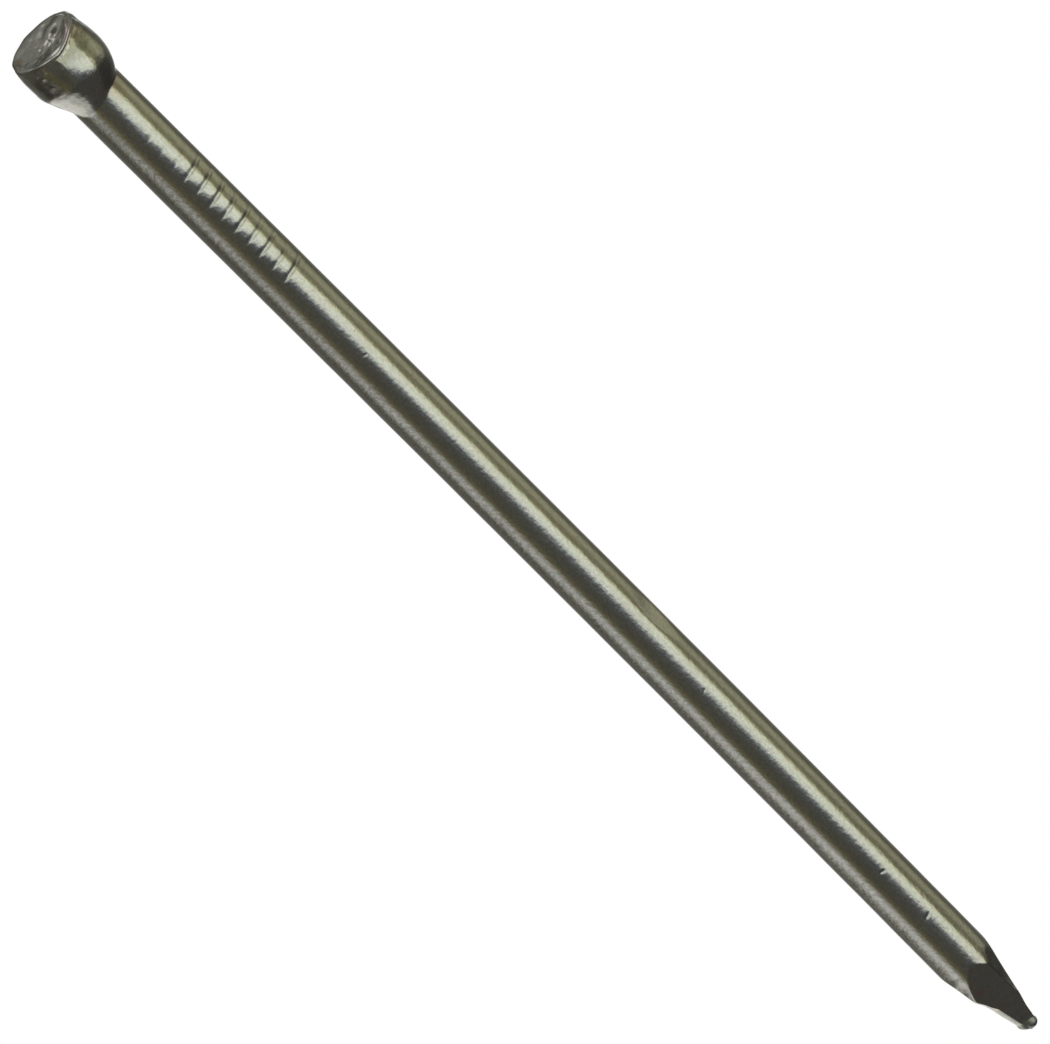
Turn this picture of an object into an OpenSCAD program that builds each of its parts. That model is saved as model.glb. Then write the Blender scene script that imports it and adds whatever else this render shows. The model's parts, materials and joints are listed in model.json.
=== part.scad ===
// Lost-head finishing nail, cold headed from one length of drawn steel wire.
// The origin is on the wire's axis in the plane of the struck face, which ends flush with the
// timber. +Z points out of the head, and the nail runs straight down to its tip at -nail_l.
// Dimensions are in millimetres.

/* [Wire] */
// Length over all, from the struck face to the tip
nail_l = 63.5; // [45:0.5:100]
// Diameter of the drawn wire, which is the shank's diameter
wire_d = 2.5; // [2.2:0.05:2.8]

/* [Head] */
// Diameter of the head at its widest
head_d = 3.5; // [3.4:0.05:3.9]
// Diameter of the struck face, measured to its sharp corner
face_d = 3.2; // [3:0.05:3.3]
// Radius of the round between the struck face and the side
rim_r = 0.2; // [0.05:0.01:0.25]
// Depth of the widest section below the struck face
bulge_drop = 1.5; // [1:0.05:1.6]
// Height of the rounded underside, from the widest section to the shank
under_h = 1.6; // [1.4:0.05:2.2]

/* [Grip marks] */
// Number of marks that each half of the gripping die leaves
grip_count = 12; // [2:1:16]
// Distance from one mark to the next
grip_pitch = 0.79; // [0.6:0.01:1]
// Depth of the first mark's centre below the struck face
grip_start = 5.9; // [4.5:0.1:8]
// Depth that the middle of a mark is pressed into the wire
grip_bite = 0.05; // [0.02:0.01:0.08]
// Direction of the first die half about the wire, counted from +X
grip_angle = -65; // [-180:1:180]

/* [Point] */
// Length of the pinched diamond point
point_l = 4.7; // [3:0.1:6]
// Width left at the tip, along X
tip_w = 0.72; // [0.3:0.02:1]
// Thickness left at the tip, along Y
tip_t = 0.26; // [0.1:0.02:0.6]
// How far the tip sits off the wire's axis, towards +X
tip_shift = 0.07; // [0:0.01:0.2]

/* [Hidden] */
$fn = 96;

wire_r = wire_d / 2;
head_r = head_d / 2;

// The side is an arc that is upright at the widest section and ends at the face's corner.
side_in = (head_d - face_d) / 2;
side_r = (bulge_drop * bulge_drop + side_in * side_in) / (2 * side_in);
// The round at the rim touches the face and, from inside, the side's arc.
rim_rise = bulge_drop - rim_r;
rim_x = head_r - side_r + sqrt(pow(side_r - rim_r, 2) - rim_rise * rim_rise);
rim_z = rim_rise * side_r / (side_r - rim_r) - bulge_drop;

// The underside is an arc that is upright at the widest section and meets the wire at the neck.
// It runs on a little way inside the wire, so that the two join without a seam.
under_in = (head_d - wire_d) / 2;
under_r = (under_h * under_h + under_in * under_in) / (2 * under_in);
sunk = 0.1;
neck_h = sqrt(under_r * under_r - pow(under_r - under_in - sunk, 2));

// Half the angle about the wire over which a die tooth bites
grip_reach = 40;
tooth_h = 0.5;
tooth_half_w = 0.4;

// Outline of the upset head, right of its axis. Its core overlaps the pieces below the rim: pieces
// that only touch can leave a closed crack of no thickness inside the head.
module head_outline() {
    translate([rim_x, -rim_r]) circle(r = rim_r);
    translate([0, -bulge_drop - sunk]) square([rim_x, bulge_drop + sunk]);
    intersection() {
        translate([head_r - side_r, -bulge_drop]) circle(r = side_r);
        translate([0, -bulge_drop]) square([head_d, bulge_drop + rim_z]);
    }
    intersection() {
        translate([head_r - under_r, -bulge_drop]) circle(r = under_r);
        translate([0, -bulge_drop - neck_h]) square([head_d, neck_h]);
    }
}

// Barrel-shaped head with a flat struck face
module head() {
    rotate_extrude() head_outline();
}

// Plain drawn wire from inside the head to the tip's plane
module wire() {
    translate([0, 0, -nail_l]) cylinder(r = wire_r, h = nail_l - bulge_drop);
}

// One tooth of the gripping die: a ring a little wider than the wire, set off its axis, so that
// it bites deepest in the middle of its side and fades out at grip_reach
module grip_tooth() {
    set_off = grip_bite / (1 - cos(grip_reach));
    inner_r = wire_r - grip_bite + set_off;
    translate([-set_off, 0, 0]) rotate_extrude()
        polygon([
            [inner_r, 0],
            [inner_r + tooth_h, tooth_half_w],
            [inner_r + tooth_h, -tooth_half_w]
        ]);
}

// Both halves of the gripping die, on opposite sides of the wire
module grip_dies() {
    for (half = [0, 1], mark = [0 : grip_count - 1])
        translate([0, 0, -grip_start - mark * grip_pitch])
            rotate([0, 0, grip_angle + half * 180])
                grip_tooth();
}

// Waste that one face of the cutting die removes: all that lies outside a plane that starts at
// the wire's surface, point_l above the tip, and reaches tip_out from the axis at the tip
module pinch(tip_out) {
    slope = atan((wire_r - tip_out) / point_l);
    translate([wire_r, 0, point_l - nail_l]) rotate([0, slope, 0])
        translate([0, -wire_d, -2 * point_l]) cube([wire_d, 2 * wire_d, 3 * point_l]);
}

// The four faces of the diamond point, two wide apart at the tip and two close together
module pinches() {
    pinch(tip_w / 2 + tip_shift);
    rotate([0, 0, 90]) pinch(tip_t / 2);
    rotate([0, 0, 180]) pinch(tip_w / 2 - tip_shift);
    rotate([0, 0, 270]) pinch(tip_t / 2);
}

module nail() {
    color([0.6, 0.59, 0.55]) difference() {
        union() {
            head();
            wire();
        }
        grip_dies();
        pinches();
    }
}

nail();
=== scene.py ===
import json
import math

import bpy
import numpy as np
from mathutils import Matrix, Vector


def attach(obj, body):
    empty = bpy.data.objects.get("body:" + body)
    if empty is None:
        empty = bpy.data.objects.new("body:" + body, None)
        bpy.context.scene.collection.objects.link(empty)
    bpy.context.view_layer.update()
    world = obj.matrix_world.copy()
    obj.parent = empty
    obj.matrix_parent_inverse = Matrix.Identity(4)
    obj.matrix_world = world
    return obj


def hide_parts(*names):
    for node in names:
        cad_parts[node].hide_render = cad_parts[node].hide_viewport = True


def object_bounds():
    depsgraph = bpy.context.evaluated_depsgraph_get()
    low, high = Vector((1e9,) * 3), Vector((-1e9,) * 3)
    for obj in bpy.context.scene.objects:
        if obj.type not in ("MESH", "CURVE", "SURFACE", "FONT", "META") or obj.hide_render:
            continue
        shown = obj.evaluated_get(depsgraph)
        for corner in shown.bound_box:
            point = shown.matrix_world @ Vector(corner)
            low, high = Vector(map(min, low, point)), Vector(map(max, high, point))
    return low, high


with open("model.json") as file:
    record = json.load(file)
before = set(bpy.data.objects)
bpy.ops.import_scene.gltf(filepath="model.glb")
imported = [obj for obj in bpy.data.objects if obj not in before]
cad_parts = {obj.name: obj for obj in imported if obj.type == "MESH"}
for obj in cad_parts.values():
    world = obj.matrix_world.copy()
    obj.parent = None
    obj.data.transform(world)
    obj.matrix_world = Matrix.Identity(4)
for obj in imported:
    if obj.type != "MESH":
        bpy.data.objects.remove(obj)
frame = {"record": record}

cad_low, cad_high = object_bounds()

# ---------------------------------------------------------------- sizes, in millimetres
MM = 0.001
MOUNTS = {mount["name"]: mount for mount in frame["record"]["mounts"]}
LENGTH = -cad_low.z / MM
HEAD_R = cad_high.x / MM
WIRE_R = MOUNTS["shank"]["dims"]["r_mm"]

# The head's outline and the point's length, as in part.scad
FACE_R = 1.6
RIM_R = 0.2
BULGE_DROP = 1.5
UNDER_H = 1.6
POINT_L = 4.7

# Depths below the struck face: where the head's top and its underside have their own centres, and
# below which there is nothing but wire
HEAD_TOP = 0.2
HEAD_LOW = 3.0
NECK_END = 4.2
POINT_START = LENGTH - POINT_L

# Manufacturing scatter, which part.scad leaves out: how far the head's top, the head's underside,
# and the wire's two ends lie towards +X, how far the wire bows that way between them, and what
# share of the bow is moved from the upper to the lower half
HEAD_TOP_X = -0.04
HEAD_LOW_X = 0.066
WIRE_TOP_X = 0.06
WIRE_END_X = -0.04
BOW = 0.103
BOW_LOWER = 0.31

TOWARDS_CAMERA = math.radians(-90)

# A blunt shoulder low on the barrel, on the side towards -X: its depth below the struck face,
# half length, and height
SHOULDER_DROP = 1.9
SHOULDER_HALF_L = 0.45
SHOULDER_H = 0.035

# Radius of the crisp corner at the neck, and how much a long fillet adds on the near -X side: the
# turn of its middle and its half width
NECK_R = 0.05
FILLET_ADDS = 0.33
FILLET_TURN = math.radians(-130)
FILLET_HALF_W = math.radians(75)

# A fold under the rim's lip on the near +X side: its depth below the struck face, half length, how
# deep, the turn of its middle, and how far to either side it is full and where it ends
FOLD_DROP = 0.27
FOLD_HALF_L = 0.20
FOLD_DEEP = 0.024
FOLD_TURN = TOWARDS_CAMERA + math.radians(42)
FOLD_FULL = math.radians(12)
FOLD_END = math.radians(48)

# The rim stands out a little further round this turn, over this half width in radians
RIM_CORNER_TURN = math.radians(38)
RIM_CORNER_HALF_W = 0.9

# Columns of the mesh go round the nail: a group for each of the point's four faces, and a group
# for each stretch of wire, later a narrow arris, between two faces. Just above the point the
# columns are drawn together, over a length and to a half width for each face.
FACE_COLUMNS = 26
ARRIS_COLUMNS = 18
COLUMNS = 4 * (FACE_COLUMNS + ARRIS_COLUMNS)
DRAWN_L = 2.8
DRAWN_HALF_W = math.radians(9)
FACE_RINGS = 42

# Gripping-die marks, the same number on each of two opposite sides: the depth of the first one's
# centre, the distance between them, how deep, and their widths above and below the centre. They
# are wider and shallower than in part.scad. The first few are faint.
GRIP_COUNT = 12
GRIP_START = 5.92
GRIP_PITCH = 0.785
GRIP_BITE = 0.0185
GRIP_UPPER_W = 0.24
GRIP_LOWER_W = 0.125
GRIP_FAINT = 3
GRIP_FAINT_SHARE = 0.35
GRIP_REACH = math.radians(42)
GRIP_SIDES = (math.radians(-61), math.radians(119))


def smooth(x, start, end):
    """0 before start, 1 after end, and smooth in between. End may be below start."""
    t = np.clip((np.asarray(x, float) - start) / (end - start), 0, 1)
    return t * t * (3 - 2 * t)


def hump(x, half_width):
    """1 at x = 0, falling smoothly to 0 at half_width either side."""
    return 1 - smooth(np.abs(x), 0, half_width)


def smooth_max(a, b, width):
    """The larger of a and b, with the corner between them rounded over width."""
    overlap = np.maximum(width - np.abs(a - b), 0) / width
    return np.maximum(a, b) + overlap * overlap * width / 4


def angle_between(a, b):
    """The signed angle from b to a, in -pi to pi."""
    return (a - b + math.pi) % (2 * math.pi) - math.pi


def ripple(points, wavelength, seed, count=24):
    """Smooth noise of about -1 to 1 at points, from seeded plane waves of about one wavelength."""
    rng = np.random.default_rng(seed)
    total = np.zeros(points.shape[:-1])
    for _ in range(count):
        direction = rng.normal(size=3)
        direction /= np.linalg.norm(direction)
        length = wavelength * rng.uniform(0.7, 1.6)
        total += np.sin(points @ direction * 2 * math.pi / length + rng.uniform(0, 2 * math.pi))
    return total / math.sqrt(count / 2) / 2


# ---------------------------------------------------------------- outline along the nail

def wire_centre(depth):
    """How far the wire's centre lies towards +X at a depth below the struck face."""
    share = depth / LENGTH
    bend = 4 * BOW * share * (1 - share) * (1 + BOW_LOWER * (2 * share - 1))
    return WIRE_TOP_X * (1 - share) + WIRE_END_X * share + bend


def head_centre(depth):
    """How far the head's centre lies towards +X: it leans that way below the rim."""
    return HEAD_TOP_X + (HEAD_LOW_X - HEAD_TOP_X) * smooth(depth, HEAD_TOP, HEAD_LOW)


def head_radius(depth):
    """Radius of the head: rim round, barrel side, then an underside that runs on into the wire."""
    side_in = HEAD_R - FACE_R
    side_r = (BULGE_DROP ** 2 + side_in ** 2) / (2 * side_in)
    side = HEAD_R - side_r + np.sqrt(side_r ** 2 - np.minimum(depth - BULGE_DROP, 0) ** 2)
    under_in = HEAD_R - WIRE_R
    under_r = (UNDER_H ** 2 + under_in ** 2) / (2 * under_in)
    fall = np.clip(depth - BULGE_DROP, 0, 0.9 * under_r)
    under = under_r - np.sqrt(under_r ** 2 - fall ** 2)
    rim_x = HEAD_R - side_r + math.sqrt((side_r - RIM_R) ** 2 - (BULGE_DROP - RIM_R) ** 2)
    rim = rim_x + np.sqrt(np.maximum(RIM_R ** 2 - np.maximum(RIM_R - depth, 0) ** 2, 0))
    return np.minimum(side - under, np.where(depth < RIM_R, rim, np.inf))


def circle_about(angle, radius, off_x):
    """Distance to a circle at each angle, from a centre from which the circle is off_x along X."""
    across = off_x * np.sin(angle)
    return off_x * np.cos(angle) + np.sqrt(radius ** 2 - across ** 2)


def grip_marks(angle, depth):
    """How deep the gripping die's teeth go at each place."""
    rng = np.random.default_rng(11)
    cut = np.zeros_like(angle)
    for side in GRIP_SIDES:
        for mark in range(GRIP_COUNT):
            strength = rng.uniform(0.75, 1.2) * (GRIP_FAINT_SHARE if mark < GRIP_FAINT else 1)
            lean = rng.normal(0, 0.03)
            place = GRIP_START + mark * GRIP_PITCH + rng.normal(0, 0.015)
            turn = angle_between(angle, side + rng.normal(0, 0.05))
            fade = (np.cos(turn) - math.cos(GRIP_REACH)) / (1 - math.cos(GRIP_REACH))
            along = depth - place - lean * turn
            wall = np.where(along < 0, GRIP_UPPER_W, GRIP_LOWER_W)
            groove = hump(along, wall) - 0.15 * hump(along - 0.4 * GRIP_PITCH, 0.3 * GRIP_PITCH)
            cut += GRIP_BITE * strength * np.clip(fade, 0, 1) * groove
    return cut


# Flats knocked on the wire: depth below the face, turn from the camera side towards +X in
# degrees, half length, and how deep
FLATS = [
    (37.1, 52, 1.05, 0.066),
    (21.5, 38, 0.5, 0.005),
    (28.3, -42, 0.7, 0.006),
    (45.5, -35, 0.6, 0.006),
    (12.0, -150, 1.4, 0.030),
    (31.0, 165, 1.7, 0.040),
    (47.0, 120, 1.2, 0.025),
]

# Nicks across the wire, and a pimple on the head: depth, turn, half length, half turn, how deep,
# and lean of the nick in millimetres along the wire per radian round it
NICKS = [
    (0.65, -40, 0.12, 5, -0.020, 0),
    (52.7, 6, 0.11, 9, 0.013, 0.4),
    (55.65, 8, 0.14, 12, 0.015, -0.4),
    (19.4, 4, 0.10, 9, 0.007, 0.4),
    (41.0, 8, 0.12, 10, 0.006, -0.5),
    (24.8, 140, 0.15, 16, 0.014, 0.3),
    (50.5, -160, 0.14, 14, 0.015, -0.4),
]


def dents(angle, depth):
    """How deep the knocked flats and the nicks go at each place."""
    cut = np.zeros_like(angle)
    for place, turn, half_length, deep in FLATS:
        away = np.clip(angle_between(angle, TOWARDS_CAMERA + math.radians(turn)), -1, 1)
        floor = deep * (1 - smooth(np.abs(depth - place), 0.55 * half_length, half_length))
        cut = np.maximum(cut, WIRE_R - (WIRE_R - floor) / np.cos(away))
    for place, turn, half_length, half_turn, deep, lean in NICKS:
        away = angle_between(angle, TOWARDS_CAMERA + math.radians(turn))
        along = depth - place - lean * away
        cut += deep * hump(along, half_length) * hump(away, math.radians(half_turn))
    return cut


# ---------------------------------------------------------------- the point

# Half widths of the pinched point at lengths beyond its start. The side towards -X carries
# squeezed-out flash, so it is less even than the side towards +X.
PLUS_X_SIDE = [(0, 1.25), (1.7, 0.9), (2.5, 0.74), (3.5, 0.54), (4.2, 0.43), (4.7, 0.36)]
MINUS_X_SIDE = [(0, 1.25), (0.56, 1.12), (1.2, 1.02), (1.6, 0.95), (2.0, 0.76), (2.6, 0.63),
                (3.2, 0.54), (4.0, 0.37), (4.15, 0.37), (4.3, 0.385), (4.42, 0.34),
                (4.52, 0.22), (4.62, 0.06), (4.7, 0.03)]
NEAR_SIDE = [(0, 1.25), (0.9, 1.02), (1.8, 0.80), (3.0, 0.51), (4.0, 0.26), (4.3, 0.17), (4.7, 0.12)]
FAR_SIDE = [(0, 1.25), (0.9, 1.05), (1.8, 0.84), (3.0, 0.55), (4.0, 0.30), (4.7, 0.13)]
ARRIS = 0.05

# Length over which the tip closes at the point's end
CLOSING_L = 0.2

# A bevel between the near side and the side towards +X: which way it faces, and its distance from
# the axis at lengths beyond the point's start
BEVEL_TURN = math.radians(-40)
BEVEL = [(0, 1.25), (0.96, 1.10), (1.42, 1.02), (1.89, 0.955), (2.35, 0.907), (2.9, 0.88),
         (4.7, 0.88)]

# Width of the strip of flash beside the near side, and the slope at which it rises
FLASH_SLOPE = math.tan(math.radians(42))
FLASH = [(0, 0), (2.07, 0.02), (2.35, 0.06), (2.67, 0.15), (3.6, 0.15), (4.0, 0.13), (4.3, 0.24),
         (4.5, 0.14), (4.7, 0.05)]


def along_outline(outline, beyond):
    """Width of an outline at a length beyond the point's start."""
    lengths, widths = zip(*outline)
    return np.interp(beyond, lengths, widths)


def point_ring(beyond):
    """Cross-section of the point, as columns of (x, y) from +X round towards +Y."""
    plus_x = along_outline(PLUS_X_SIDE, beyond)
    minus_x = along_outline(MINUS_X_SIDE, beyond)
    near = along_outline(NEAR_SIDE, beyond)
    far = along_outline(FAR_SIDE, beyond)

    def corner_reach(side, other):
        """How far a face runs along its own width towards a corner, given both half widths."""
        on_wire = math.sqrt(max(WIRE_R ** 2 - side ** 2, 0))
        return min(on_wire, other - ARRIS)

    # Each face: its distance from the axis, and how far it runs to either side
    flash = float(along_outline(FLASH, beyond))
    rise = flash * FLASH_SLOPE
    ends = {
        "plus_x": ((plus_x, -corner_reach(plus_x, near)), (plus_x, corner_reach(plus_x, far))),
        "far": ((corner_reach(far, plus_x), far), (-corner_reach(far, minus_x), far)),
        "minus_x": ((-minus_x, corner_reach(minus_x, far)),
                    (-minus_x, -corner_reach(minus_x, near) + min(rise, near))),
        "near": ((-corner_reach(near, minus_x - flash), -near), (corner_reach(near, plus_x), -near)),
    }
    order = ["plus_x", "far", "minus_x", "near"]
    columns = []
    for index, name in enumerate(order):
        start, end = (np.array(p) for p in ends[name])
        for step in range(FACE_COLUMNS):
            share = step / FACE_COLUMNS
            columns.append(start * (1 - share) + end * share)
        after = np.array(ends[order[(index + 1) % 4]][0])
        columns += arris_columns(end, after)
    ring = np.array(columns)
    outward = ring @ np.array([math.cos(BEVEL_TURN), math.sin(BEVEL_TURN)])
    bevel = along_outline(BEVEL, beyond) / np.maximum(outward, 0.01)
    closed = max((beyond - (POINT_L - CLOSING_L)) / CLOSING_L, 0)
    closing = math.sqrt(1 - 0.9 * closed ** 2)
    return ring * np.minimum(bevel, 1)[:, None] * closing


def arris_columns(start, end):
    """Columns between two faces, turned evenly about the axis: wire first, a narrow arris later."""
    a0, a1 = math.atan2(start[1], start[0]), math.atan2(end[1], end[0])
    turn = (a1 - a0) % (2 * math.pi)
    r0, r1 = np.hypot(*start), np.hypot(*end)
    made = []
    for step in range(ARRIS_COLUMNS):
        share = step / ARRIS_COLUMNS
        angle = a0 + turn * share
        radius = r0 * (1 - share) + r1 * share
        made.append(np.array([math.cos(angle), math.sin(angle)]) * radius)
    return made


def column_angles(share):
    """Angles of the columns on round wire. At share 1 the columns of each face are drawn
    together round the line where that face starts."""
    even, drawn = [], []
    between = math.pi / 2 - 2 * DRAWN_HALF_W
    for side in range(4):
        middle = side * math.pi / 2
        for step in range(FACE_COLUMNS):
            drawn.append(middle - DRAWN_HALF_W + 2 * DRAWN_HALF_W * step / FACE_COLUMNS)
        for step in range(ARRIS_COLUMNS):
            drawn.append(middle + DRAWN_HALF_W + between * step / ARRIS_COLUMNS)
    first = drawn[0]
    for column in range(COLUMNS):
        even.append(first + 2 * math.pi * column / COLUMNS)
    return np.array(even) * (1 - share) + np.array(drawn) * share


# ---------------------------------------------------------------- the struck face

# Ridges (+) and valleys (-) hammered into the struck face: two ends as shares of the face's
# radius, half width, and height in millimetres. Y is away from the camera.
FACE_MARKS = [
    ((0.72, 0.30), (0.40, 0.24), 0.32, 0.060),
    ((0.40, 0.24), (0.16, 0.08), 0.30, 0.060),
    ((-0.27, -0.40), (-0.40, -0.52), 0.13, 0.045),
    ((0.36, -0.02), (0.66, -0.04), 0.20, -0.050),
    ((0.30, 0.60), (0.08, 0.38), 0.14, -0.030),
    ((-0.20, -0.10), (-0.34, -0.27), 0.11, -0.040),
    ((0.88, 0.22), (0.80, -0.36), 0.24, 0.070),
    ((0.80, -0.36), (0.50, -0.72), 0.22, 0.060),
    ((-0.62, 0.52), (-0.20, 0.70), 0.22, 0.018),
    ((-0.50, 0.20), (-0.55, -0.30), 0.28, 0.018),
]

# How far the rim is beaten down on the camera's side, the slope at which the face dips behind it,
# and the step on the dip's far side
RIM_DROP = 0.14
DIP_SLOPE = 0.135
DIP_STEP = 0.065

# A chip out of the rim: the turn of its middle, its half width in radians, and how deep
CHIP_TURN = math.radians(-86)
CHIP_HALF_W = math.radians(27)
CHIP_DROP = 0.10


def beaten(x, y):
    """How much of the beaten-down stretch each place has, at shares x, y of the face's radius."""
    return smooth(x, -1.15, -0.25) * smooth(x, 0.75, 0.35) * smooth(y, 0.80, -0.25)


def chip(x, y):
    """How far the chip lowers each place, at shares x, y of the face's radius."""
    turn = angle_between(np.arctan2(y, x), CHIP_TURN)
    return CHIP_DROP * hump(turn, CHIP_HALF_W) * smooth(np.hypot(x, y), 0.72, 0.98)


def dip(x, y):
    """How far the face dips between the near rim and a bent foot line, at shares x, y."""
    near = -0.86 * np.sqrt(np.maximum(1 - x * x, 0.1))
    foot = -0.12 - 0.62 * np.abs(x - 0.13) + 1.2 * np.maximum(-0.42 - x, 0)
    deepest = DIP_SLOPE * FACE_R * np.maximum(foot - near, 0)
    step = DIP_STEP * smooth(x, -0.60, -0.25) * smooth(y - foot, 0, 0.18)
    down = deepest * smooth(y, near, np.maximum(foot, near + 0.05)) - step
    return down * smooth(x, -1.05, -0.65) * smooth(x, 0.80, 0.45) * smooth(y, 0.85, -0.2)


def face_relief(x, y):
    """Height of the struck face at shares x, y of its radius."""
    height = -RIM_DROP * beaten(x, y) - dip(x, y) - chip(x, y)
    for start, end, half_width, rise in FACE_MARKS:
        a, b = np.array(start), np.array(end)
        run = b - a
        share = np.clip(((x - a[0]) * run[0] + (y - a[1]) * run[1]) / (run @ run), 0, 1)
        away = np.hypot(x - a[0] - share * run[0], y - a[1] - share * run[1])
        height += rise * hump(away, half_width)
    points = np.stack([x, y, 0 * x], -1)
    height += 0.012 * ripple(points, 0.7, 3) + 0.007 * ripple(points, 0.27, 4)
    height += 0.0025 * ripple(points, 0.12, 5)
    return height


# ---------------------------------------------------------------- the whole nail

# Depth down to which the head's rings are close together
HEAD_RINGS_END = 3.7


def ring_depths():
    """Depths of the rings below the struck face, closer together where the shape turns."""
    rim = RIM_R * (1 - np.cos(np.linspace(0, math.pi / 2, 8, endpoint=False)))
    head = np.arange(RIM_R, HEAD_RINGS_END, 0.075)
    neck = np.arange(HEAD_RINGS_END, 5.2, 0.15)
    across_mark = np.array([-0.28, -0.22, -0.17, -0.13, -0.10, -0.07, -0.035, 0,
                            0.02, 0.04, 0.06, 0.08, 0.105, 0.14, 0.20, 0.28, 0.38])
    grips = np.concatenate([GRIP_START + mark * GRIP_PITCH + across_mark for mark in range(GRIP_COUNT)])
    shank = np.linspace(grips[-1] + 0.2, POINT_START - DRAWN_L, 82)
    drawn = np.linspace(shank[-1] + 0.2, POINT_START, 16)
    beyond = np.concatenate([[0.04, 0.09], np.arange(0.15, POINT_L - 0.03, 0.06)])
    point = POINT_START + beyond
    across_nick = np.array([-0.16, -0.11, -0.07, -0.035, 0, 0.035, 0.07, 0.11, 0.16])
    nicks = np.concatenate([place + across_nick for place, *_ in NICKS if place > grips[-1]])
    depths = np.concatenate([rim, head, neck, grips, shank, nicks, drawn, point, [LENGTH - 0.02]])
    return np.unique(depths.round(4))


def shoulder(angle, depth):
    """A blunt shoulder on the side towards -X, where the barrel turns into the underside."""
    minus_x_side = smooth(np.cos(angle), 0.3, -0.6)
    return SHOULDER_H * minus_x_side * hump(depth - SHOULDER_DROP, SHOULDER_HALF_L)


def rim_groove(angle, depth):
    """A fold under the rim's lip on the near +X side, in which the lip overhangs."""
    turn = angle_between(angle, FOLD_TURN)
    along_rim = 1 - smooth(np.abs(turn), FOLD_FULL, FOLD_END)
    return FOLD_DEEP * along_rim * hump(depth - FOLD_DROP, FOLD_HALF_L)


def wire_ring(depth):
    """One ring of the head or the shank: the turn and radius of each column, and the centre."""
    angle = column_angles(float(smooth(depth, POINT_START - DRAWN_L, POINT_START)))
    centre = wire_centre(depth)
    radius = np.full(COLUMNS, WIRE_R)
    if depth < NECK_END:
        fillet = NECK_R + FILLET_ADDS * hump(angle_between(angle, FILLET_TURN), FILLET_HALF_W)
        head = circle_about(angle, head_radius(depth), head_centre(depth) - centre)
        head = head + shoulder(angle, depth)
        radius = smooth_max(head - rim_groove(angle, depth), radius, fillet)
    return angle, radius, centre


def nail_points():
    """Rings of points down the nail, from the rim to the tip, as an array of rings by columns."""
    rings = []
    for depth in ring_depths():
        beyond = depth - POINT_START
        if beyond > 0:
            flat = point_ring(beyond)
            angle = np.arctan2(flat[:, 1], flat[:, 0])
            radius = np.hypot(flat[:, 0], flat[:, 1])
            centre = wire_centre(depth)
        else:
            angle, radius, centre = wire_ring(depth)
            radius = radius - grip_marks(angle, np.full(COLUMNS, depth))
            radius = radius - dents(angle, np.full(COLUMNS, depth))
        ring = np.stack([centre + radius * np.cos(angle), radius * np.sin(angle),
                         np.full(COLUMNS, -depth)], -1)
        rings.append(ring)
    return np.array(rings)


def roughen(points):
    """Waviness that drawing and heading leave, pushed out from or into the nail's axis."""
    depth = -points[..., 2]
    on_head = smooth(depth, 3.2, 2.2) * smooth(depth, 0.0, 0.3)
    on_point = smooth(depth, POINT_START, POINT_START + 0.6)
    stretched = points * np.array([1, 1, 0.35])
    push = 0.0035 * ripple(stretched, 1.1, 21) * smooth(depth, 0.1, 0.4)
    head_push = 0.008 * ripple(points, 1.3, 22) + 0.004 * ripple(points, 0.5, 23)
    push += on_head * (head_push - 0.018)
    turn = np.arctan2(points[..., 1], points[..., 0])
    corner = hump(angle_between(turn, RIM_CORNER_TURN), RIM_CORNER_HALF_W)
    rim_push = 0.020 * ripple(points, 0.75, 31) + 0.010 * ripple(points, 0.33, 32)
    push += smooth(depth, 0.65, 0.2) * (rim_push + 0.015 + 0.06 * corner)
    push += 0.008 * on_point * ripple(points, 0.9, 24)
    outward = points * np.array([1, 1, 0])
    outward /= np.maximum(np.linalg.norm(outward, axis=-1, keepdims=True), 0.05)
    return points + outward * push[..., None]


# The burr where the cutter parted the wire: its centre along X, along Y and above the tip, and its
# radii along X, Y and Z
BURR_CENTRE = np.array([0.135, -0.03, 0.295 - LENGTH])
BURR_RADII = np.array([0.29, 0.25, 0.275])


def add_burr(points):
    """Pushes the skin of the tip out to a small rounded burr."""
    away = (points - BURR_CENTRE) / BURR_RADII
    distance = np.maximum(np.linalg.norm(away, axis=-1, keepdims=True), 1e-6)
    return np.where(distance < 1, BURR_CENTRE + away / distance * BURR_RADII, points)


def struck_face(rim_ring):
    """Rings of the struck face from just inside the rim to near its centre, and the centre."""
    centre = np.array([HEAD_TOP_X, 0.0])
    rings = []
    for share in np.linspace(1, 0, FACE_RINGS)[1:]:
        flat = centre + (rim_ring[:, :2] - centre) * share
        x, y = (flat[:, 0] - HEAD_TOP_X) / FACE_R, flat[:, 1] / FACE_R
        height = face_relief(x, y)
        height = rim_ring[:, 2] + (height - rim_ring[:, 2]) * smooth(share, 1.0, 0.88)
        rings.append(np.concatenate([flat, height[:, None]], 1))
    return rings


def beat_down_rim(points):
    """Lowers the top of the head's side, to meet the beaten face."""
    x, y = (points[..., 0] - HEAD_TOP_X) / FACE_R, points[..., 1] / FACE_R
    lower = RIM_DROP * beaten(x, y) * smooth(-points[..., 2], 1.2, 0.1)
    lower += chip(x, y) * smooth(-points[..., 2], 0.9, 0.1)
    return points - lower[..., None] * np.array([0, 0, 1])


def soften(points):
    """Rounds the edges where the point's sides start to be cut out of the wire."""
    beyond = -points[..., 2:] - POINT_START
    share = smooth(beyond, -0.3, 0.2) * smooth(beyond, 2.6, 1.2)
    for _ in range(3):
        across = (np.roll(points, 1, axis=1) + np.roll(points, -1, axis=1)) / 2
        points = points + (across - points) * 0.5 * share
    for _ in range(3):
        along = points.copy()
        along[1:-1] = (points[:-2] + points[2:]) / 2
        points = points + (along - points) * 0.5 * share
    return points


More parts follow.
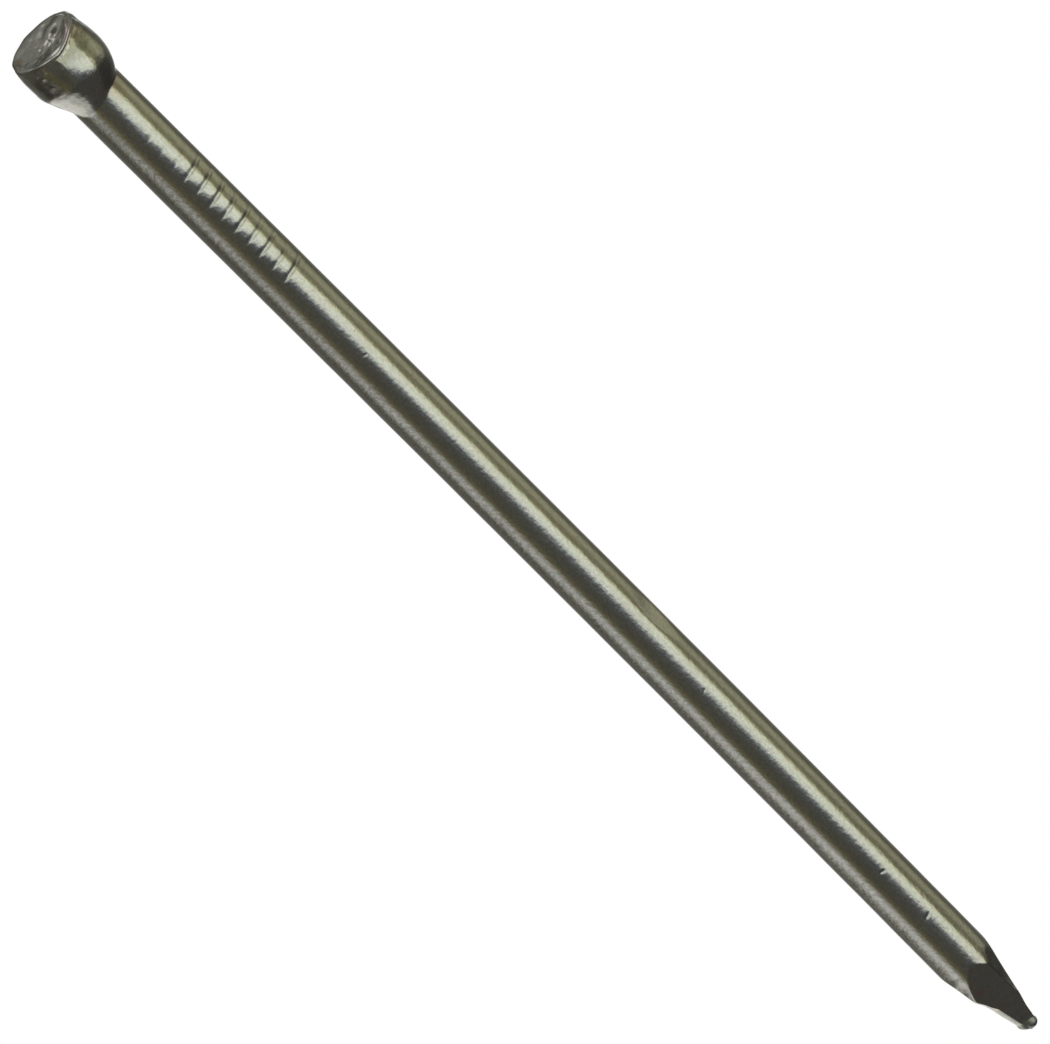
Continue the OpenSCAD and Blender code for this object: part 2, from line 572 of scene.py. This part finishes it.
def build_nail():
    """The whole nail as one closed mesh: the struck face, the rings down to the tip, and the tip."""
    rings = add_burr(soften(beat_down_rim(roughen(nail_points()))))
    face = struck_face(rings[0])
    top = max(ring[:, 2].max() for ring in face)
    for ring in face:
        ring[:, 2] -= top
    rings[..., 2] -= top * smooth(-rings[..., 2], 1.2, 0.0)
    crown = face[-1].mean(0)
    tip = rings[-1].mean(0)
    tip[2] = -LENGTH
    skin = list(reversed(face[:-1])) + list(rings)
    points = np.concatenate([crown[None], np.concatenate(skin), tip[None]])
    faces = []
    count = len(skin)
    for column in range(COLUMNS):
        after = (column + 1) % COLUMNS
        faces.append((0, 1 + column, 1 + after))
        last = 1 + (count - 1) * COLUMNS
        faces.append((last + after, last + column, len(points) - 1))
        for ring in range(count - 1):
            low, high = 1 + ring * COLUMNS, 1 + (ring + 1) * COLUMNS
            faces.append((low + column, high + column, high + after, low + after))
    mesh = bpy.data.meshes.new("steel_nail")
    mesh.from_pydata((points * MM).tolist(), [], faces)
    mesh.update()
    mesh.shade_smooth()
    nail = bpy.data.objects.new("steel_nail", mesh)
    bpy.context.scene.collection.objects.link(nail)
    return nail


# ---------------------------------------------------------------- materials

def new_material(name):
    """An empty node material, with its nodes and links."""
    material = bpy.data.materials.new(name)
    material.use_nodes = True
    nodes, links = material.node_tree.nodes, material.node_tree.links
    nodes.clear()
    return material, nodes, links


def math_node(nodes, links, operation, *values):
    """One sum on numbers or sockets."""
    node = nodes.new("ShaderNodeMath")
    node.operation = operation
    for socket, value in zip(node.inputs, values):
        if isinstance(value, (int, float)):
            socket.default_value = value
        else:
            links.new(value, socket)
    return node.outputs[0]


def fade(nodes, links, value, start, end):
    """0 below start, 1 above end, smooth in between; start may be above end."""
    node = nodes.new("ShaderNodeMapRange")
    node.interpolation_type = "SMOOTHSTEP"
    links.new(value, node.inputs["Value"])
    node.inputs["From Min"].default_value = min(start, end)
    node.inputs["From Max"].default_value = max(start, end)
    rising = start < end
    node.inputs["To Min"].default_value = 0 if rising else 1
    node.inputs["To Max"].default_value = 1 if rising else 0
    return node.outputs["Result"]


def noise(nodes, links, place, stretch, size, detail, output="Fac"):
    """Noise whose grains are about size millimetres, and 1 / stretch times as long along Z."""
    scaled = nodes.new("ShaderNodeVectorMath")
    scaled.operation = "MULTIPLY"
    links.new(place, scaled.inputs[0])
    scaled.inputs[1].default_value = (1, 1, stretch)
    grains = nodes.new("ShaderNodeTexNoise")
    links.new(scaled.outputs[0], grains.inputs["Vector"])
    grains.inputs["Scale"].default_value = 1 / (size * MM)
    grains.inputs["Detail"].default_value = detail
    return grains.outputs[output]


def mix_colour(nodes, links, share, one, other, blend="MIX"):
    """Colour one at share 0, and colour other at share 1."""
    node = nodes.new("ShaderNodeMix")
    node.data_type = "RGBA"
    node.blend_type = blend
    for socket, value in ((node.inputs[0], share), (node.inputs[6], one), (node.inputs[7], other)):
        if isinstance(value, (int, float, tuple)):
            socket.default_value = value
        else:
            links.new(value, socket)
    return node.outputs[2]


def bump(nodes, links, height, microns, normal=None):
    """Relief of the given height, on top of another bump's normal if there is one."""
    node = nodes.new("ShaderNodeBump")
    node.inputs["Strength"].default_value = 1
    node.inputs["Distance"].default_value = microns * 1e-6
    links.new(height, node.inputs["Height"])
    if normal is not None:
        links.new(normal, node.inputs["Normal"])
    return node.outputs["Normal"]


# Stains on the steel, and patches of painted shade: centre and radius in millimetres, how strong, and
# colour. The dark grey patches along the near rim and on the barrel below it are painted shade, which
# darkens the steel where the rim shows no highlight. The brown, pink and bluish ones are stains.
STAINS_AND_PAINTED_SHADE = [
    ((-1.35, 0.30, 0.0), 0.50, 0.80, (0.36, 0.24, 0.14)),
    # Painted shade: three dark grey patches along the near rim, darkening it where it shows no highlight
    ((-0.85, -1.15, -0.10), 0.50, 0.80, (0.19, 0.18, 0.17)),
    ((-0.38, -0.95, -0.30), 0.42, 0.80, (0.20, 0.21, 0.22)),
    ((0.26, -0.76, -0.30), 0.38, 0.80, (0.20, 0.22, 0.22)),
    ((1.00, -0.95, -0.05), 0.75, 0.70, (0.58, 0.47, 0.45)),
    # Painted shade: a dark patch on the near -X side of the barrel, below the rim
    ((-1.05, -1.25, -1.25), 0.95, 0.90, (0.17, 0.155, 0.135)),
    ((0.90, -1.20, -3.20), 1.10, 0.45, (0.40, 0.31, 0.24)),
    ((-0.52, -0.85, -60.1), 0.45, 0.80, (0.58, 0.38, 0.36)),
    ((-0.30, -0.60, -61.4), 0.50, 0.35, (0.50, 0.40, 0.26)),
    ((0.10, -0.10, -63.4), 0.55, 0.80, (0.24, 0.26, 0.29)),
]


def stained_and_shaded(nodes, links, place, wobble, colour):
    """The colour with the stains and the patches of painted shade over it, their edges made uneven by the
    wobble.
    """
    for centre, radius, strength, stain_and_shade_colour in STAINS_AND_PAINTED_SHADE:
        away = nodes.new("ShaderNodeVectorMath")
        away.operation = "DISTANCE"
        links.new(place, away.inputs[0])
        away.inputs[1].default_value = tuple(c * MM for c in centre)
        uneven = math_node(nodes, links, "MULTIPLY_ADD", wobble, 0.9 * radius * MM, away.outputs["Value"])
        share = fade(nodes, links, uneven, 1.45 * radius * MM, 0.55 * radius * MM)
        share = math_node(nodes, links, "MULTIPLY", share, strength)
        colour = mix_colour(nodes, links, share, colour, (*stain_and_shade_colour, 1))
    return colour


def steel_material():
    """Bright drawn steel: drawing lines, fine mottling, pits, stains, painted shade on the near rim and
    barrel, and a rougher struck face.
    """
    material, nodes, links = new_material("bright_steel")
    out = nodes.new("ShaderNodeOutputMaterial")
    shader = nodes.new("ShaderNodeBsdfPrincipled")
    links.new(shader.outputs["BSDF"], out.inputs["Surface"])
    shader.inputs["Metallic"].default_value = 1.0
    place = nodes.new("ShaderNodeTexCoord").outputs["Object"]
    split = nodes.new("ShaderNodeSeparateXYZ")
    links.new(place, split.inputs[0])
    height = split.outputs[2]
    on_face = fade(nodes, links, height, -0.30 * MM, -0.05 * MM)
    on_head = fade(nodes, links, height, -3.2 * MM, -2.8 * MM)
    on_tip = fade(nodes, links, height, -(LENGTH - 0.7) * MM, -(LENGTH - 0.5) * MM)
    lines = noise(nodes, links, place, 0.03, 0.09, 3)
    mottle = noise(nodes, links, place, 0.6, 0.09, 3)
    tint = noise(nodes, links, place, 0.7, 0.13, 2, "Color")
    cloud = noise(nodes, links, place, 0.4, 0.9, 3)
    pits = fade(nodes, links, noise(nodes, links, place, 0.8, 0.12, 1), 0.73, 0.80)

    colour = mix_colour(nodes, links, mottle, (0.38, 0.37, 0.35, 1), (0.66, 0.65, 0.61, 1))
    colour = mix_colour(nodes, links, 0.13, colour, tint, "OVERLAY")
    smudge = math_node(nodes, links, "MULTIPLY", fade(nodes, links, cloud, 0.45, 0.75), 0.25)
    colour = mix_colour(nodes, links, smudge, colour, (0.44, 0.41, 0.36, 1))
    pitted = math_node(nodes, links, "MULTIPLY", pits, 0.5)
    colour = mix_colour(nodes, links, pitted, colour, (0.16, 0.14, 0.11, 1))
    # Stains, and patches of painted shade on the near rim and barrel, go over the steel's colour
    colour = stained_and_shaded(nodes, links, place, cloud, colour)
    links.new(colour, shader.inputs["Base Color"])

    rough = math_node(nodes, links, "MULTIPLY_ADD", lines, 0.10, 0.09)
    rough = math_node(nodes, links, "MULTIPLY_ADD", mottle, 0.06, rough)
    rough = math_node(nodes, links, "MULTIPLY_ADD", on_face, 0.09, rough)
    rough = math_node(nodes, links, "MULTIPLY_ADD", pits, 0.20, rough)
    rough = math_node(nodes, links, "MULTIPLY_ADD", on_tip, 0.28, rough)
    links.new(rough, shader.inputs["Roughness"])

    grain = noise(nodes, links, place, 0.6, 0.15, 2)
    normal = bump(nodes, links, grain, 6.5)
    normal = bump(nodes, links, lines, 1.5, normal)
    crumple = math_node(nodes, links, "MULTIPLY", noise(nodes, links, place, 1, 0.28, 2), on_head)
    normal = bump(nodes, links, crumple, 8, normal)
    links.new(normal, shader.inputs["Normal"])
    return material


# ---------------------------------------------------------------- studio

# Soft light that the steel mirrors, as patches of a large dome, in degrees. Azimuth 0 is the side
# that the camera is on, and azimuth grows towards +X. Each patch: its name, the azimuth of its left
# and right edges, how soft these are, lean of the left edge in degrees per degree of height, lowest
# and highest elevation, how soft these are, and its colour.
DOME = [
    ("room", -180, 180, 0, 0, -34, 90, 14, (0.055, 0.054, 0.040)),
    ("cool", -4, 26, 20, 0, -40, 20, 10, (0.0, 0.008, 0.028)),
    ("below", -70, 60, 20, 0, -90, -38, 10, (0.028, 0.026, 0.024)),
    ("key", 22, 60, 15, -1.85, -33, 40, 7, (0.60, 0.63, 0.46)),
    ("key_low", 22, 60, 15, -1.85, -33, -13, 15, (0.43, 0.44, 0.31)),
    ("key_cool", 18, 50, 18, -1.85, -33, -10, 20, (0.02, 0.05, 0.22)),
    ("olive_skirt", 56, 121, 14, 0, -29.5, -14, 9, (0.19, 0.18, 0.09)),
    ("olive_wall", 86, 111, 16, 0, -34, -14, 9, (0.16, 0.17, 0.14)),
    ("olive_high", 56, 121, 14, 0, -14, 60, 12, (0.10, 0.10, 0.03)),
    ("left", -89, -61, 26, 9, -90, -24.5, 16, (0.42, 0.43, 0.42)),
    ("left_low", -91.5, -61, 18, 9, -90, -50, 22, (0.24, 0.24, 0.21)),
    ("left_mid", -92, -61, 26, 0, -34, -25, 12, (0.50, 0.51, 0.50)),
    ("left_back", -178, -95, 20, 0, -90, -30, 5, (0.42, 0.41, 0.37)),
    ("brown", -60, -42, 22, 0, -45, 20, 10, (0.07, 0.053, 0.0)),
    ("far_wall", 126, 240, 24, 0, -50, -18, 14, (0.045, 0.045, 0.045)),
    ("back", 158, 202, 20, 0, -34, -20, 8, (0.40, 0.41, 0.39)),
    ("pale", 146, 176, 8, 0, -19, 6, 5, (0.55, 0.65, 0.63)),
    ("sky", 158, 198, 18, 0, 58, 90, 12, (0.68, 0.70, 0.68)),
    ("sky_back", 120, 240, 40, 0, 22, 90, 14, (0.15, 0.15, 0.147)),
    ("sky_mid", 120, 240, 40, 0, 48, 90, 22, (0.14, 0.145, 0.14)),
]
AMBIENT = (0.05, 0.05, 0.045)

# Left edges lean from this elevation, and no further than these heights below and above it
LEAN_FROM = -25.6
LEAN_LOW = -10
LEAN_HIGH = 14

# Camera: elevation and roll in degrees, distance and the height of its aim as shares of the nail's
# length, and focal length for a sensor 36 mm wide
CAMERA_ELEVATION = 25.6
CAMERA_ROLL = -45.1
CAMERA_DISTANCE = 11.015
CAMERA_AIM = -0.4785
CAMERA_AIM_X = 0.002
CAMERA_LENS = 587.3


def patch_weight(nodes, links, azimuth, elevation, patch):
    """How much of one patch of the dome a direction sees."""
    _, left, right, edge, lean, low, high, softness, _ = patch
    weight = math_node(nodes, links, "MULTIPLY",
                       fade(nodes, links, elevation, low - softness / 2, low + softness / 2),
                       fade(nodes, links, elevation, high + softness / 2, high - softness / 2))
    if right - left >= 360:
        return weight
    middle = (left + right) / 2
    turned = math_node(nodes, links, "SUBTRACT", azimuth, middle)
    turned = math_node(nodes, links, "WRAP", turned, 180, -180)
    raised = math_node(nodes, links, "SUBTRACT", elevation, LEAN_FROM)
    raised = math_node(nodes, links, "MINIMUM", raised, LEAN_HIGH)
    raised = math_node(nodes, links, "MAXIMUM", raised, LEAN_LOW)
    shifted = math_node(nodes, links, "MULTIPLY_ADD", raised, -lean, turned)
    half = (right - left) / 2
    rise = fade(nodes, links, shifted, -half - edge / 2, -half + edge / 2)
    fall = fade(nodes, links, turned, half + edge / 2, half - edge / 2)
    return math_node(nodes, links, "MULTIPLY", weight, math_node(nodes, links, "MULTIPLY", rise, fall))


def studio_world():
    """A white room to look at, and a soft studio for the steel to mirror."""
    world = bpy.data.worlds.new("studio")
    bpy.context.scene.world = world
    world.use_nodes = True
    nodes, links = world.node_tree.nodes, world.node_tree.links
    nodes.clear()
    direction = nodes.new("ShaderNodeTexCoord").outputs["Generated"]
    split = nodes.new("ShaderNodeSeparateXYZ")
    links.new(direction, split.inputs[0])
    x, y, z = split.outputs
    backwards = math_node(nodes, links, "MULTIPLY", y, -1)
    azimuth = math_node(nodes, links, "DEGREES", math_node(nodes, links, "ARCTAN2", x, backwards))
    elevation = math_node(nodes, links, "DEGREES", math_node(nodes, links, "ARCSINE", z))
    total = None
    for patch in DOME:
        weight = patch_weight(nodes, links, azimuth, elevation, patch)
        scaled = nodes.new("ShaderNodeVectorMath")
        scaled.operation = "MULTIPLY_ADD"
        scaled.inputs[0].default_value = patch[-1]
        links.new(weight, scaled.inputs[1])
        if total is None:
            scaled.inputs[2].default_value = AMBIENT
        else:
            links.new(total, scaled.inputs[2])
        total = scaled.outputs[0]
    mirrored = nodes.new("ShaderNodeBackground")
    links.new(total, mirrored.inputs["Color"])
    seen = nodes.new("ShaderNodeBackground")
    seen.inputs["Color"].default_value = (1, 1, 1, 1)
    mix = nodes.new("ShaderNodeMixShader")
    links.new(nodes.new("ShaderNodeLightPath").outputs["Is Camera Ray"], mix.inputs[0])
    links.new(mirrored.outputs[0], mix.inputs[1])
    links.new(seen.outputs[0], mix.inputs[2])
    out = nodes.new("ShaderNodeOutputWorld")
    links.new(mix.outputs[0], out.inputs["Surface"])


def white_floor():
    """A plain white floor well below the tip, lit evenly, which the steel doesn't mirror."""
    half = 40 * LENGTH * MM
    height = -3 * LENGTH * MM
    mesh = bpy.data.meshes.new("floor")
    mesh.from_pydata([(-half, -half, height), (half, -half, height),
                      (half, half, height), (-half, half, height)], [], [(0, 1, 2, 3)])
    floor = bpy.data.objects.new("floor", mesh)
    bpy.context.scene.collection.objects.link(floor)
    material, nodes, links = new_material("floor_white")
    glow = nodes.new("ShaderNodeEmission")
    glow.inputs["Color"].default_value = (1, 1, 1, 1)
    out = nodes.new("ShaderNodeOutputMaterial")
    links.new(glow.outputs[0], out.inputs["Surface"])
    mesh.materials.append(material)
    floor.visible_glossy = False


def camera():
    """Looks down on the head's side of the nail, rolled so that the nail lies on the diagonal."""
    elevation = math.radians(CAMERA_ELEVATION)
    distance = CAMERA_DISTANCE * LENGTH * MM
    aim = Vector((CAMERA_AIM_X * MM, 0, CAMERA_AIM * LENGTH * MM))
    back = Vector((0, -math.cos(elevation), math.sin(elevation)))
    data = bpy.data.cameras.new("camera")
    data.sensor_width = 36
    data.lens = CAMERA_LENS
    data.clip_start = 0.05
    data.clip_end = 20
    cam = bpy.data.objects.new("camera", data)
    bpy.context.scene.collection.objects.link(cam)
    look = (-back).to_track_quat("-Z", "Y").to_matrix().to_4x4()
    roll = Matrix.Rotation(math.radians(CAMERA_ROLL), 4, "Z")
    cam.matrix_world = Matrix.Translation(aim + back * distance) @ look @ roll
    bpy.context.scene.camera = cam


nail = build_nail()
nail.data.materials.append(steel_material())
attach(nail, "root")
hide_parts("nail")
studio_world()
white_floor()
camera()
bpy.context.scene.view_settings.view_transform = "Standard"
